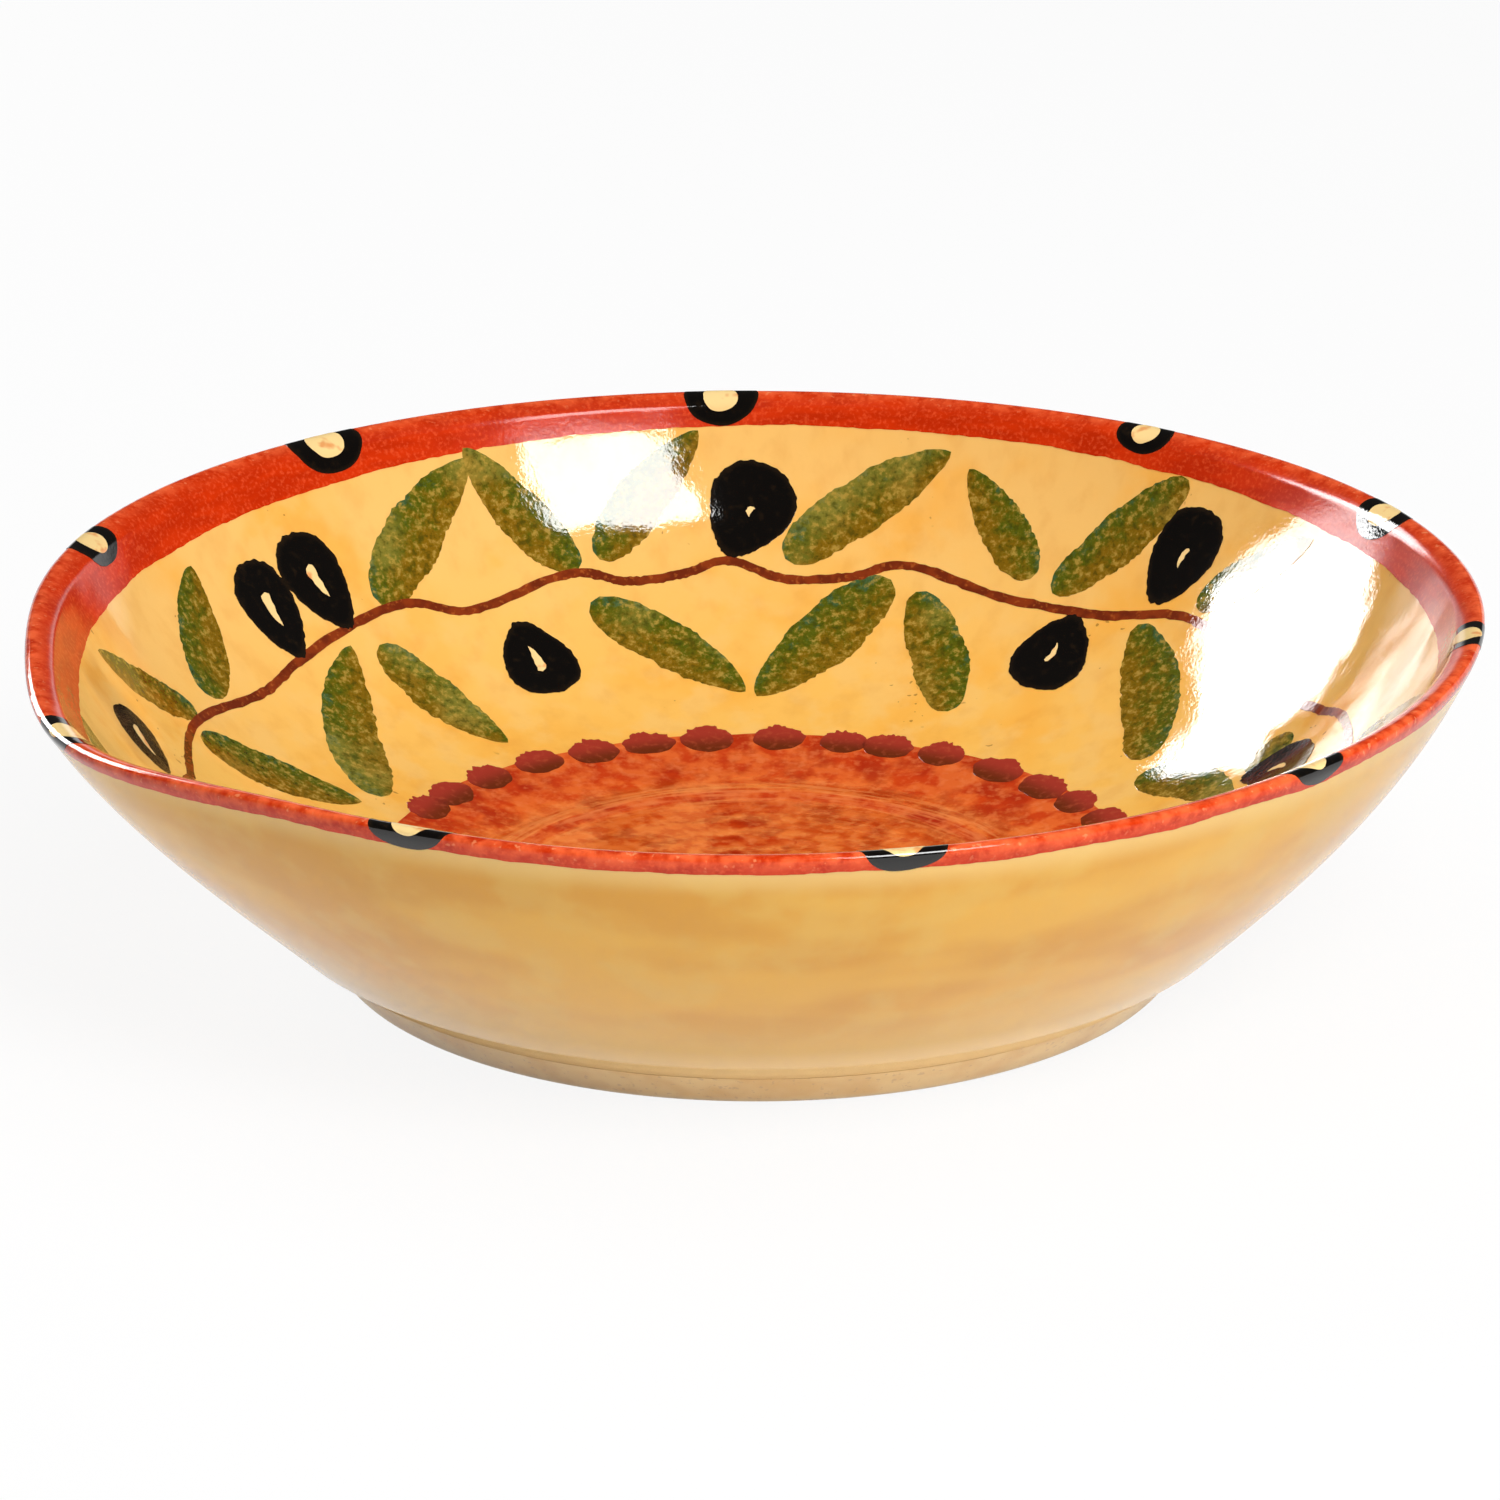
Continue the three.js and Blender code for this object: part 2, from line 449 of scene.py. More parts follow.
foot_glaze, net, shader, place = new_finish("foot_glaze", FOOT_ROUGHNESS)
tanned = patches(net, place, size=9, start=0.35, full=0.65)
tone = mixed(net, tanned, FOOT_CREAM, FOOT_TAN)
wiped = between(net, height_of(net, place), WIPED_TO * MM, WIPED_CLEAN * MM)
tone = mixed(net, wiped, tone, FOOT_WIPED)
bare = patches(net, place, size=1.4, start=0.62, full=0.7, strength=0.4)
coat_with(net, shader, mixed(net, bare, tone, CLAY_WARM))
dents = relief(net, clouds(net, place, DENT_SIZE, detail=3.0), DENT_DEPTH)
net.links.new(dents, shader.inputs["Normal"])
print("foot glaze mixed from", len(net.nodes), "nodes")

# %% Spin and soften the foot
FOOT_WIDTH = 11.0
FOOT_FLARE = 6.5
FOOT_EDGE_ROUND = 1.5
FOOT_EDGE_STEPS = 5
NEAR = 0.01

foot_radius = foot_top_radius - FOOT_FLARE
foot_inside = foot_radius - FOOT_WIDTH
outline = [(foot_inside, 0), (foot_radius, 0), (foot_top_radius, foot_top), (foot_inside, foot_top)]
foot = spun(outline, closed=True)
resting = [edge for edge in foot.edges if all(dot.co.z < NEAR * MM for dot in edge.verts)]
around = [edge for edge in resting if abs(edge.verts[0].co.length - edge.verts[1].co.length) < NEAR * MM]
bmesh.ops.bevel(
    foot,
    geom=around,
    affect="EDGES",
    offset=FOOT_EDGE_ROUND * MM,
    segments=FOOT_EDGE_STEPS,
    profile=0.5,
    material=-1,
)
keep_piece(foot, "turned_foot", "foot_glaze", foot_glaze, "foot_ring")

# %% [markdown]
# ## The two glazes
# Inside, the bowl is a warm yellow that is paler near the lip, where it ran thin, and deeper in the
# cove, where it pooled. Outside it is a honey colour with soft bands from the wheel, and it thins to
# cream under the lip. Low on the wall and above the foot it is lighter and creamier, partly where the
# glaze runs thin and partly as painted light bounced up from the floor. Each glaze is its own thin
# closed skin, spun from the section.

# %% Yellow glaze for the inside
YELLOW_PALE = colour(244, 195, 110)
YELLOW_WARM = colour(246, 186, 80)
YELLOW_DEEP = colour(244, 174, 66)
YELLOW_BROWN = colour(214, 138, 52)
SPECK = colour(130, 78, 30)
POOL_TOP = 62
POOL_FULL = 18


def stretched(net, place, across, up):
    return add_node(net, "Mapping", {"Vector": place, "Scale": (across, across, up)}).outputs[0]


def times(net, first, second):
    return add_node(net, "Math", {0: first, 1: second}, operation="MULTIPLY").outputs[0]


yellow_glaze, net, shader, place = new_glaze("yellow_glaze")
pooled = between(net, height_of(net, place), POOL_TOP * MM, POOL_FULL * MM, strength=0.7)
tone = mixed(net, pooled, YELLOW_PALE, YELLOW_WARM)
deep = patches(net, place, size=26, start=0.45, full=0.68, strength=0.7, detail=3.0)
tone = mixed(net, deep, tone, YELLOW_DEEP)
pale = patches(net, place, size=11, start=0.46, full=0.66, strength=0.7, detail=4.0)
tone = mixed(net, pale, tone, YELLOW_PALE)
runs = stretched(net, place, across=1, up=0.5)
brown = patches(net, runs, size=6, start=0.45, full=0.75, strength=0.22, detail=4.0)
tone = mixed(net, brown, tone, YELLOW_BROWN)
specks = patches(net, place, size=1.3, start=0.78, full=0.82, strength=0.6, detail=0.0)
few = patches(net, place, size=24, start=0.60, full=0.64)
coat_with(net, shader, mixed(net, times(net, specks, few), tone, SPECK))
print("yellow glaze mixed from", len(net.nodes), "nodes")

# %% Spin the inside glaze
HALF_LIP_STEPS = 8


def both_sides(distances):
    """The line of a coat's face, and the line of its back."""
    face = [on_section(distance) for distance in distances]
    back = [on_section(distance, -COAT) for distance in distances]
    return face, back


face, back = both_sides(spread(lip_crest, lip_end, HALF_LIP_STEPS) + inside_run)
inside = spun(face[::-1] + back, closed=False)
wobble(inside)
keep_piece(inside, "inside_glaze", "yellow_glaze", yellow_glaze, "inner_glaze")

# %% Honey glaze for the outside
HONEY = colour(230, 174, 70)
HONEY_DARK = colour(212, 148, 50)
HONEY_CREAM = colour(226, 182, 90)
HONEY_PALE = colour(238, 202, 128)
SATIN_ROUGHNESS = 0.16
SATIN_IOR = 1.42
CREAM_TOP = 36
CREAM_FULL = 16
PALE_START = 66
PALE_FULL = 73
FOOT_CREAM_TOP = 20
FOOT_CREAM_FULL = 13

honey_glaze, net, shader, place = new_glaze("honey_glaze", SATIN_ROUGHNESS, SATIN_IOR)
height = height_of(net, place)
bands = stretched(net, place, across=0.3, up=1)
dark = patches(net, bands, size=17, start=0.38, full=0.66, strength=0.7)
tone = mixed(net, dark, HONEY, HONEY_DARK)
# Painted light: lighter towards the bottom, partly thinner glaze and partly painted light bounced up from
# the white floor.
thin_glaze_and_bounce_light = between(net, height, CREAM_TOP * MM, CREAM_FULL * MM, strength=0.8)
tone = mixed(net, thin_glaze_and_bounce_light, tone, HONEY_CREAM)
cloudy = patches(net, place, size=15, start=0.45, full=0.7, strength=0.5, detail=3.0)
tone = mixed(net, cloudy, tone, HONEY_CREAM)
pale = between(net, height, PALE_START * MM, PALE_FULL * MM, strength=0.7)
tone = mixed(net, pale, tone, HONEY_PALE)
# Painted light: cream just above the foot, partly thinner glaze and partly painted bounce light that lifts
# the shade under the wall.
thinnest_glaze_and_bounce_light = between(net, height, FOOT_CREAM_TOP * MM, FOOT_CREAM_FULL * MM, strength=0.7)
coat_with(net, shader, mixed(net, thinnest_glaze_and_bounce_light, tone, FOOT_CREAM))
print("honey glaze mixed from", len(net.nodes), "nodes")

# %% Spin the outside glaze
GLAZE_START = 0.6
GLAZE_STEPS = 40

glazed_run = spread(GLAZE_START, lip_start, GLAZE_STEPS)
half_lip_run = spread(lip_start, lip_crest, HALF_LIP_STEPS) + [lip_crest]
face, back = both_sides(glazed_run + half_lip_run)
outside = spun(face + back[::-1], closed=True)
wobble(outside)
keep_piece(outside, "outside_glaze", "honey_glaze", honey_glaze, "outer_glaze")

# %% [markdown]
# ## Laying paint on the bowl
# Paint is a film with an edge, laid on a curved wall. A flat grid is made and extruded with two
# operators, which gives a closed film, and a formula then gives every corner of it an angle, a distance
# along the section and a lift, so that the film follows the wall and its back sinks into the glaze.
# Thickening the finished film would also work, but it tears where a film is folded tightly. An extra
# number on each corner, the tone, tells the finish where the brush left more or less colour.

# %% Helpers for laid-on paint
FILM = 0.16
FILM_WELD = 0.002
GRID_END = 0.9999


def new_paint():
    work = bmesh.new()
    work.verts.layers.float.new("tone")
    return work


def lay_sheet(work, columns, rows, lift, spot, ring=False):
    tone = work.verts.layers.float["tone"]
    face_dots = bmesh.ops.create_grid(work, x_segments=columns, y_segments=rows, size=1.0)["verts"]
    faces = list(dict.fromkeys(face for dot in face_dots for face in dot.link_faces))
    deeper = bmesh.ops.extrude_face_region(work, geom=faces)["geom"]
    back_dots = [part for part in deeper if isinstance(part, bmesh.types.BMVert)]
    if ring:
        ends = [face for face in work.faces if abs(face.calc_center_median().x) > GRID_END]
        bmesh.ops.delete(work, geom=ends, context="FACES")
    for dots, height in ((face_dots, lift), (back_dots, lift - FILM)):
        for dot in dots:
            degrees, distance, dot[tone] = spot(dot.co.x, dot.co.y)
            dot.co = on_bowl(degrees, distance, height)


def dry(work):
    bmesh.ops.remove_doubles(work, verts=work.verts[:], dist=FILM_WELD * MM)
    bmesh.ops.dissolve_degenerate(work, edges=work.edges[:], dist=FILM_WELD * MM)
    bmesh.ops.delete(work, geom=[edge for edge in work.edges if edge.is_wire], context="EDGES")
    bmesh.ops.recalc_face_normals(work, faces=work.faces[:])
    return work


print("a film of paint is", FILM, "mm thick")

# %% [markdown]
# ## The red band over the lip
# The band was brushed on while the bowl turned, so its edges wander by a few millimetres. It laps over
# to the outside a little, and is thinner and lighter there, where the glaze drew back from the lip.

# %% Red band finish
RED_BAND = colour(204, 50, 5)
RED_DARK = colour(174, 34, 2)
RED_THIN = colour(244, 104, 56)
RED_FLECK = colour(238, 156, 104)
BAND_ROUGHNESS = 0.15
LIP_ROUGHNESS = 0.09
BAND_IOR = 1.38


def painted_tone(net):
    return add_node(net, "Attribute", {}, attribute_name="tone").outputs["Fac"]


red_band, net, shader, place = new_glaze("red_band", ior=BAND_IOR)
streaks = stretched(net, place, across=0.2, up=1)
dark = patches(net, streaks, size=2.6, start=0.35, full=0.65, strength=0.6)
tone = mixed(net, dark, RED_BAND, RED_DARK)
light = patches(net, place, size=0.9, start=0.45, full=0.75, strength=0.35, detail=3.0)
tone = mixed(net, light, tone, RED_THIN)
worn = painted_tone(net)
cloudy = patches(net, place, size=3.4, start=0.3, full=0.7, detail=3.0)
tone = mixed(net, times(net, worn, cloudy), tone, RED_THIN)
flecks = patches(net, place, size=1.5, start=0.63, full=0.72, strength=0.6)
coat_with(net, shader, mixed(net, times(net, flecks, worn), tone, RED_FLECK))
inputs = {"Value": worn, "From Min": 0.5, "To Min": BAND_ROUGHNESS, "To Max": LIP_ROUGHNESS}
net.links.new(add_node(net, "MapRange", inputs).outputs[0], shader.inputs["Roughness"])
print("red band mixed from", len(net.nodes), "nodes")

# %% Lay the band
BAND_STEPS = 720
BAND_ROWS = 30
BAND_LIFT = 0.10
BAND_DROP = 6.0
BAND_OVERHANG = 1.3
BAND_WAVES = [(1, 1.2, 170), (2, 2.2, 0)]
WORN_OUTWARD = 1.5
WORN_WIDTH = 2.8
SEED_STEP = 7.31


def ragged(seed, x, y, size=1.0):
    return noise.noise(Vector((x / size, y / size, seed * SEED_STEP)))


def on_circle(degrees, radius):
    turn = math.radians(degrees)
    return Vector((math.cos(turn), math.sin(turn))) * radius


def wander(seed, place, reach, size):
    """How far an edge strays at a place on a circle, in waves about as long as size."""
    return reach * ragged(seed, *place, size)


def band_spot(x, y):
    degrees = 180 * x
    place = on_circle(degrees, RIM_RADIUS)
    low = BAND_DROP + waves_at(BAND_WAVES, degrees)
    low += wander(1, place, reach=0.5, size=14)
    low += wander(2, place, reach=0.25, size=2)
    over = BAND_OVERHANG + wander(3, place, reach=0.7, size=18)
    over += wander(4, place, reach=0.25, size=2)
    share = (y + 1) / 2
    distance = (lip_start - over) * (1 - share) + (lip_end + low) * share
    on_lip = math.exp(-(((distance - lip_crest + WORN_OUTWARD) / WORN_WIDTH) ** 2))
    return degrees, distance, on_lip


band = new_paint()
lay_sheet(band, BAND_STEPS, BAND_ROWS, BAND_LIFT, band_spot, ring=True)
keep_piece(dry(band), "painted_band", "red_band", red_band, "rim_band")

# %% [markdown]
# ## The red disc
# The bottom is covered with red, thin enough for the yellow to show through in clouds. The clouds are
# plain noise in three sizes. Where the finger left its ring, the colour is drawn out along the turning
# wheel, so there the noise is stretched round the middle and makes streaks.

# %% Red disc finish
DISC_RED = colour(200, 62, 14)
DISC_ORANGE = colour(222, 100, 40)
DISC_DARK = colour(170, 38, 5)
DISC_LIGHT = colour(230, 126, 68)

red_disc, net, shader, place = new_glaze("red_disc")
orange = patches(net, place, size=4.5, start=0.38, full=0.6, detail=6.0)
tone = mixed(net, orange, DISC_RED, DISC_ORANGE)
dark = patches(net, place, size=11, start=0.47, full=0.64, strength=0.85, detail=6.0)
tone = mixed(net, dark, tone, DISC_DARK)
light = patches(net, place, size=2.2, start=0.47, full=0.7, strength=0.45, detail=5.0)
tone = mixed(net, light, tone, DISC_LIGHT)
print("red disc clouded with", len(net.nodes), "nodes")

# %% Streaks round the middle of the disc
STREAKS_ROUND = 6
STREAKS_START = 46
STREAKS_FULL = 57
STREAKS_FADE = 59
STREAKS_END = 63

flat, radius = out_from_middle(net, place)
direction = add_node(net, "VectorMath", {0: flat}, operation="NORMALIZE").outputs[0]
inputs = {0: direction, "Scale": STREAKS_ROUND * MM}
circle = add_node(net, "VectorMath", inputs, operation="SCALE").outputs[0]
upright = add_node(net, "CombineXYZ", {"Z": radius}).outputs[0]
turned = add_node(net, "VectorMath", {0: circle, 1: upright}, operation="ADD").outputs[0]
streaks = patches(net, turned, size=1.1, start=0.42, full=0.66, strength=0.75, detail=3.0)
near = between(net, radius, STREAKS_START * MM, STREAKS_FULL * MM)
far = between(net, radius, STREAKS_END * MM, STREAKS_FADE * MM)
streaks = times(net, streaks, times(net, near, far))
coat_with(net, shader, mixed(net, streaks, tone, DISC_LIGHT))
print("red disc mixed from", len(net.nodes), "nodes")

# %% Lay the disc
DISC_RADIUS = 80.0
DISC_STEPS = 360
DISC_ROWS = 60
DISC_LIFT = 0.10
DISC_LAP = 1.5
HALVINGS = 40


def inside_radius(drop):
    return on_section(lip_end + drop).x


def drop_at_radius(radius):
    low, high = 0.0, inside_length
    for _ in range(HALVINGS):
        half = (low + high) / 2
        low, high = (half, high) if inside_radius(half) > radius else (low, half)
    return low


disc_drop = drop_at_radius(DISC_RADIUS)


def disc_spot(x, y):
    degrees = 180 * x
    start = lip_end + disc_drop - DISC_LAP + wander(5, on_circle(degrees, DISC_RADIUS), reach=0.6, size=9)
    share = (y + 1) / 2
    return degrees, start * (1 - share) + section_end * share, share


disc = new_paint()
lay_sheet(disc, DISC_STEPS, DISC_ROWS, DISC_LIFT, disc_spot, ring=True)
keep_piece(dry(disc), "painted_disc", "red_disc", red_disc, "centre_disc")
print(f"the disc starts {disc_drop:.1f} mm below the lip")

# %% [markdown]
# ## Dabs round the disc
# The edge of the disc is hidden under a ring of dabs, each one press of a finger with paint on it. They
# are dusty red where they lie on yellow and darker where they lie on the disc, and no two are alike.

# %% Dab finish
DAB_DUSTY = colour(162, 52, 36)
DAB_DEEP = colour(104, 40, 8)
DAB_THIN = colour(190, 84, 50)

dab_paint, net, shader, place = new_glaze("dab_paint")
inward = between(net, painted_tone(net), start=-0.6, full=0.8)
tone = mixed(net, inward, DAB_DUSTY, DAB_DEEP)
thin = patches(net, place, size=1.6, start=0.5, full=0.75, strength=0.35, detail=3.0)
coat_with(net, shader, mixed(net, thin, tone, DAB_THIN))
print("dab paint mixed from", len(net.nodes), "nodes")

# %% Press the dabs
DAB_COUNT = 37
DAB_LENGTH = 11.5
DAB_DEPTH = 9.0
DAB_DROP = 0.2
DAB_LIFT = 0.17
DAB_GRID = (22, 16)
DAB_VARIES = 0.2
DAB_TURN = 4
DAB_STRAY = 1.2
DAB_UNEVEN = 0.10
DAB_FRAY = 0.22
NOISE_PLACE = (0.37, 0.71)


def rounded(x, y):
    """Turns the square grid into a round one."""
    return x * math.sqrt(1 - y * y / 2), y * math.sqrt(1 - x * x / 2)


def beside(degrees, drop, right, down):
    """A place some millimetres to the right of, and below, a place on the inside wall."""
    lower = min(drop + down, inside_length)
    return degrees + math.degrees(right / max(inside_radius(lower), 1)), lip_end + lower


def press_dab(work, seed, degrees):
    longer, deeper, aside, lower = [ragged(seed + 100 * k, *NOISE_PLACE) for k in range(1, 5)]
    length = DAB_LENGTH * (1 + DAB_VARIES * longer)
    depth = DAB_DEPTH * (1 + DAB_VARIES * deeper)

    def spot(x, y):
        u, v = rounded(x, y)
        frayed = max(0.0, -v) * ragged(seed, 7 * u, 3 * v)
        uneven = DAB_UNEVEN * ragged(seed, 2 * u, 2 * v) + DAB_FRAY * frayed
        swell = 1 + math.hypot(u, v) * uneven
        right = swell * u * length / 2
        down = swell * v * depth / 2 + DAB_STRAY * lower
        return *beside(degrees + DAB_TURN * aside, disc_drop + DAB_DROP, right, down), v

    lay_sheet(work, *DAB_GRID, DAB_LIFT, spot)


dabs = new_paint()
for number in range(DAB_COUNT):
    press_dab(dabs, number, 360 * number / DAB_COUNT)
keep_piece(dry(dabs), "dab_ring", "dab_paint", dab_paint)

# %% [markdown]
# ## The branch
# One thin brown line winds round the inside, half way down the wall, and everything else grows from it.
# Its knots are listed one by one, and a smooth curve runs through them. The part that the front wall hides
# repeats the run of knots that shows, turned round the bowl.

# %% Branch finish
STEM_RED = colour(134, 52, 16)
STEM_DARK = colour(100, 34, 10)
STEM_THIN = colour(172, 88, 34)

stem_paint, net, shader, place = new_glaze("stem_paint")
dark = patches(net, place, size=4, start=0.4, full=0.6, strength=0.8)
tone = mixed(net, dark, STEM_RED, STEM_DARK)
thin = patches(net, place, size=1.2, start=0.55, full=0.72, strength=0.7, detail=3.0)
coat_with(net, shader, mixed(net, thin, tone, STEM_THIN))
print("stem paint mixed from", len(net.nodes), "nodes")

# %% The knots of the branch, each an angle and a drop below the lip
BRANCH_LEFT = [(181, 44), (169, 40), (155, 44.5), (145, 41.5)]
BRANCH_RUN = [
    (130, 37),
    (122, 42.2),
    (110, 36.8),
    (104, 40),
    (98, 39),
    (93, 36),
    (87, 40.5),
    (80, 39.5),
    (74, 35.6),
    (63, 40.6),
    (51, 40.2),
]
BRANCH_RIGHT = [(41, 35), (31, 39), (21, 41), (13, 38)]
HIDDEN_LEAD = [(140, 35)]
HIDDEN_TURNS = (-132, -237)
BRANCH_CLOSE = [(-170, 39), (-178.9, 44)]
KNOT_ROOM = 4

knots = BRANCH_LEFT + BRANCH_RUN + BRANCH_RIGHT
for turn in HIDDEN_TURNS:
    knots = knots + [(degrees + turn, drop) for degrees, drop in HIDDEN_LEAD + BRANCH_RUN]
knots = [knot for knot in knots if knot[0] > BRANCH_CLOSE[0][0] + KNOT_ROOM] + BRANCH_CLOSE
print("the branch has", len(knots), "knots")

# %% Draw the branch
BRANCH_WIDTH = 2.2
BRANCH_LIFT = 0.12
BRANCH_STEPS = 16
BRANCH_ROWS = 2
BRANCH_SWELL = 0.25
BRANCH_SHAKE = 0.3


def smooth_path(points, steps):
    """A curve through the points, with handles a sixth as long as the way between the neighbours."""
    path = [points[0]]
    ends = [points[0]] + points + [points[-1]]
    for before, start, end, after in zip(ends, points, points[1:], ends[3:]):
        first = start + (end - before) / 6
        second = end - (after - start) / 6
        path += interpolate_bezier(start, first, second, end, steps + 1)[1:]
    return path


path = smooth_path([Vector(knot) for knot in knots], BRANCH_STEPS)
last = len(path) - 1


def branch_spot(x, y):
    here = min(last, round((x + 1) / 2 * last))
    before, after = path[max(here - 1, 0)], path[min(here + 1, last)]
    degrees, drop = path[here]
    right = math.radians(after.x - before.x) * inside_radius(drop)
    slope = Vector((right, after.y - before.y)).normalized()
    swell = 1 + BRANCH_SWELL * ragged(11 + y, here * 0.3, 0)
    half = BRANCH_WIDTH / 2 * swell + BRANCH_SHAKE * ragged(12 + y, here * 0.9, 0)
    return *beside(degrees, drop, -slope.y * y * half, slope.x * y * half), y


stem = new_paint()
lay_sheet(stem, last, BRANCH_ROWS, BRANCH_LIFT, branch_spot)
keep_piece(dry(stem), "branch", "stem_paint", stem_paint)

# %% [markdown]
# ## Leaves
# Each leaf is one press and pull of a sponge-like brush: a round end near the branch, a belly, and a
# pointed tip. The green is broken up by the ochre below it, and a bluish green gathers at the round end
# and along one edge. A leaf is given by its two ends, its width and how far it bends.

# %% Leaf finish
LEAF_TEAL = colour(58, 94, 60)
LEAF_GREEN = colour(82, 90, 10)
LEAF_BROWN = colour(126, 94, 10)
LEAF_OCHRE = colour(182, 150, 62)
LEAF_DARK = colour(56, 58, 4)
LEAF_PALE = colour(166, 152, 66)
CLOUD_SHARE = 2.2

leaf_paint, net, shader, place = new_glaze("leaf_paint")
across = painted_tone(net)
cloud = clouds(net, place, size=3, detail=4.0, roughness=0.7)
inputs = {0: cloud, 1: CLOUD_SHARE, 2: across}
shifted = add_node(net, "Math", inputs, operation="MULTIPLY_ADD").outputs[0]
tone = mixed(net, between(net, shifted, start=1.2, full=2.0), LEAF_GREEN, LEAF_BROWN)
tone = mixed(net, between(net, shifted, start=1.2, full=0.8, strength=0.85), tone, LEAF_TEAL)
pale = patches(net, place, size=30, start=0.54, full=0.68, strength=0.4)
tone = mixed(net, pale, tone, LEAF_PALE)
sponge = clouds(net, place, size=1.7, detail=3.0, roughness=0.65)
tone = mixed(net, between(net, sponge, start=0.5, full=0.32, strength=0.65), tone, LEAF_DARK)
ochre = between(net, sponge, start=0.5, full=0.68, strength=0.72)
coat_with(net, shader, mixed(net, ochre, tone, LEAF_OCHRE))
print("leaf paint mixed from", len(net.nodes), "nodes")

# %% Where the leaves lie
POINTED = 0.66
BLUNT = 0.45
HIDDEN_END = -155

# base angle, base drop, tip angle, tip drop, width, bend, tip
LEAVES_LEFT = [
    (167, 39, 175.5, 13, 10, 1, POINTED),
    (162, 39.5, 152, 13, 13.5, -1, POINTED),
    (170.5, 42.5, 161, 78, 13, -1, POINTED),
    (157, 80, 138.5, 43, 14, 0, POINTED),
    (187, 48, 177, 80, 12, 0.5, POINTED),
    (208, 42, 200, 77, 13, 0, POINTED),
]
LEAVES_RUN = [
    (135, 45, 128.5, 80, 12, -1, POINTED),
    (132, 36, 117.6, 7, 14, 0.5, POINTED),
    (109, 36, 118, 4.5, 12, 1, POINTED),
    (106.5, 34, 95.5, 5, 12, 0, POINTED),
    (108.5, 44.5, 91.5, 72.5, 13, 0, POINTED),
    (75.5, 39.5, 90, 74, 15.5, 0.5, POINTED),
    (87, 35.5, 71.5, 8, 13.5, 0.5, POINTED),
    (60.5, 35, 69.5, 11.5, 11, 0.5, POINTED),
    (72.5, 42, 63, 74, 13, 0, BLUNT),
    (57.5, 37.5, 47.5, 5.5, 12.5, 0, BLUNT),
    (46, 40, 30, 71, 14, 0, BLUNT),
]
LEAVES_RIGHT = [
    (40.5, 32, 31, 9, 10, 0.5, POINTED),
    (27, 75, 9, 64, 12, 1, POINTED),
    (13, 58.5, 13.5, 45.5, 9, 0, BLUNT),
]


def turned_run(motifs):
    """The same motifs again on the side that the front wall hides, up to where the branch closes."""
    hidden = []
    for turn in HIDDEN_TURNS:
        for degrees, drop, tip_degrees, *rest in motifs:
            if degrees + turn > HIDDEN_END:
                hidden.append((degrees + turn, drop, tip_degrees + turn, *rest))
    return hidden


all_leaves = LEAVES_LEFT + LEAVES_RUN + LEAVES_RIGHT + turned_run(LEAVES_RUN)
print(len(all_leaves), "leaves")

# %% Press the leaves
LEAF_LIFT = 0.08
LEAF_LAYER = 0.015
LEAF_STEPS = 48
LEAF_ROWS = 8
BASE_FULLNESS = 0.45
LEAF_UNEVEN = 0.12
LEAF_FRAY = 0.10
TEAL_BASE = 0.35


def press_leaf(work, seed, leaf):
    base_degrees, base_drop, tip_degrees, tip_drop, width, bend, tip = leaf
    right = math.radians(tip_degrees - base_degrees) * inside_radius((base_drop + tip_drop) / 2)
    slope = Vector((right, tip_drop - base_drop)).normalized()
    widest = BASE_FULLNESS / (BASE_FULLNESS + tip)
    fullest = widest**BASE_FULLNESS * (1 - widest) ** tip

    def spot(x, y):
        share = (x + 1) / 2
        half = width / 2 * share**BASE_FULLNESS * (1 - share) ** tip / fullest
        uneven = LEAF_UNEVEN * ragged(seed + 20, 5 * share, y)
        half *= 1 + uneven + LEAF_FRAY * ragged(seed + 60, 34 * share, y)
        across = y * half + bend * math.sin(math.pi * share)
        degrees = base_degrees + (tip_degrees - base_degrees) * share
        drop = base_drop + (tip_drop - base_drop) * share
        lower = (1 + math.copysign(y, slope.x * y)) / 2 - TEAL_BASE * max(0.0, 1 - 4 * share)
        return *beside(degrees, drop, -slope.y * across, slope.x * across), lower

    lay_sheet(work, LEAF_STEPS, LEAF_ROWS, LEAF_LIFT + LEAF_LAYER * (seed % 3), spot)


leaves = new_paint()
for number, leaf in enumerate(all_leaves):
    press_leaf(leaves, number, leaf)
keep_piece(dry(leaves), "leaves", "leaf_paint", leaf_paint)

# %% [markdown]
# ## Olives and their glints
# The olives are almost black, egg-shaped, with the point towards the branch. A sliver of the yellow
# below was left open in each, or scratched free, and reads as a glint. It is a sliver of yellow film
# here, laid on the black.

# %% Olive finish
OLIVE_BLACK = colour(9, 6, 4)
OLIVE_BROWN = colour(40, 28, 14)

olive_paint, net, shader, place = new_glaze("olive_paint")
thin = patches(net, place, size=2.0, start=0.55, full=0.8, strength=0.6, detail=3.0)
tone = mixed(net, thin, OLIVE_BLACK, OLIVE_BROWN)
edge = between(net, painted_tone(net), start=0.86, full=1.0, strength=0.5)
coat_with(net, shader, mixed(net, edge, tone, OLIVE_BROWN))
print("olive paint mixed from", len(net.nodes), "nodes")

# %% Pale glaze that shows inside the olives
EYE_CREAM = colour(248, 214, 146)
EYE_ORANGE = colour(226, 130, 58)

pale_glaze, net, shader, place = new_glaze("pale_glaze")
orange = patches(net, place, size=4, start=0.56, full=0.7, strength=0.7)
coat_with(net, shader, mixed(net, orange, EYE_CREAM, EYE_ORANGE))
print("pale glaze mixed from", len(net.nodes), "nodes")

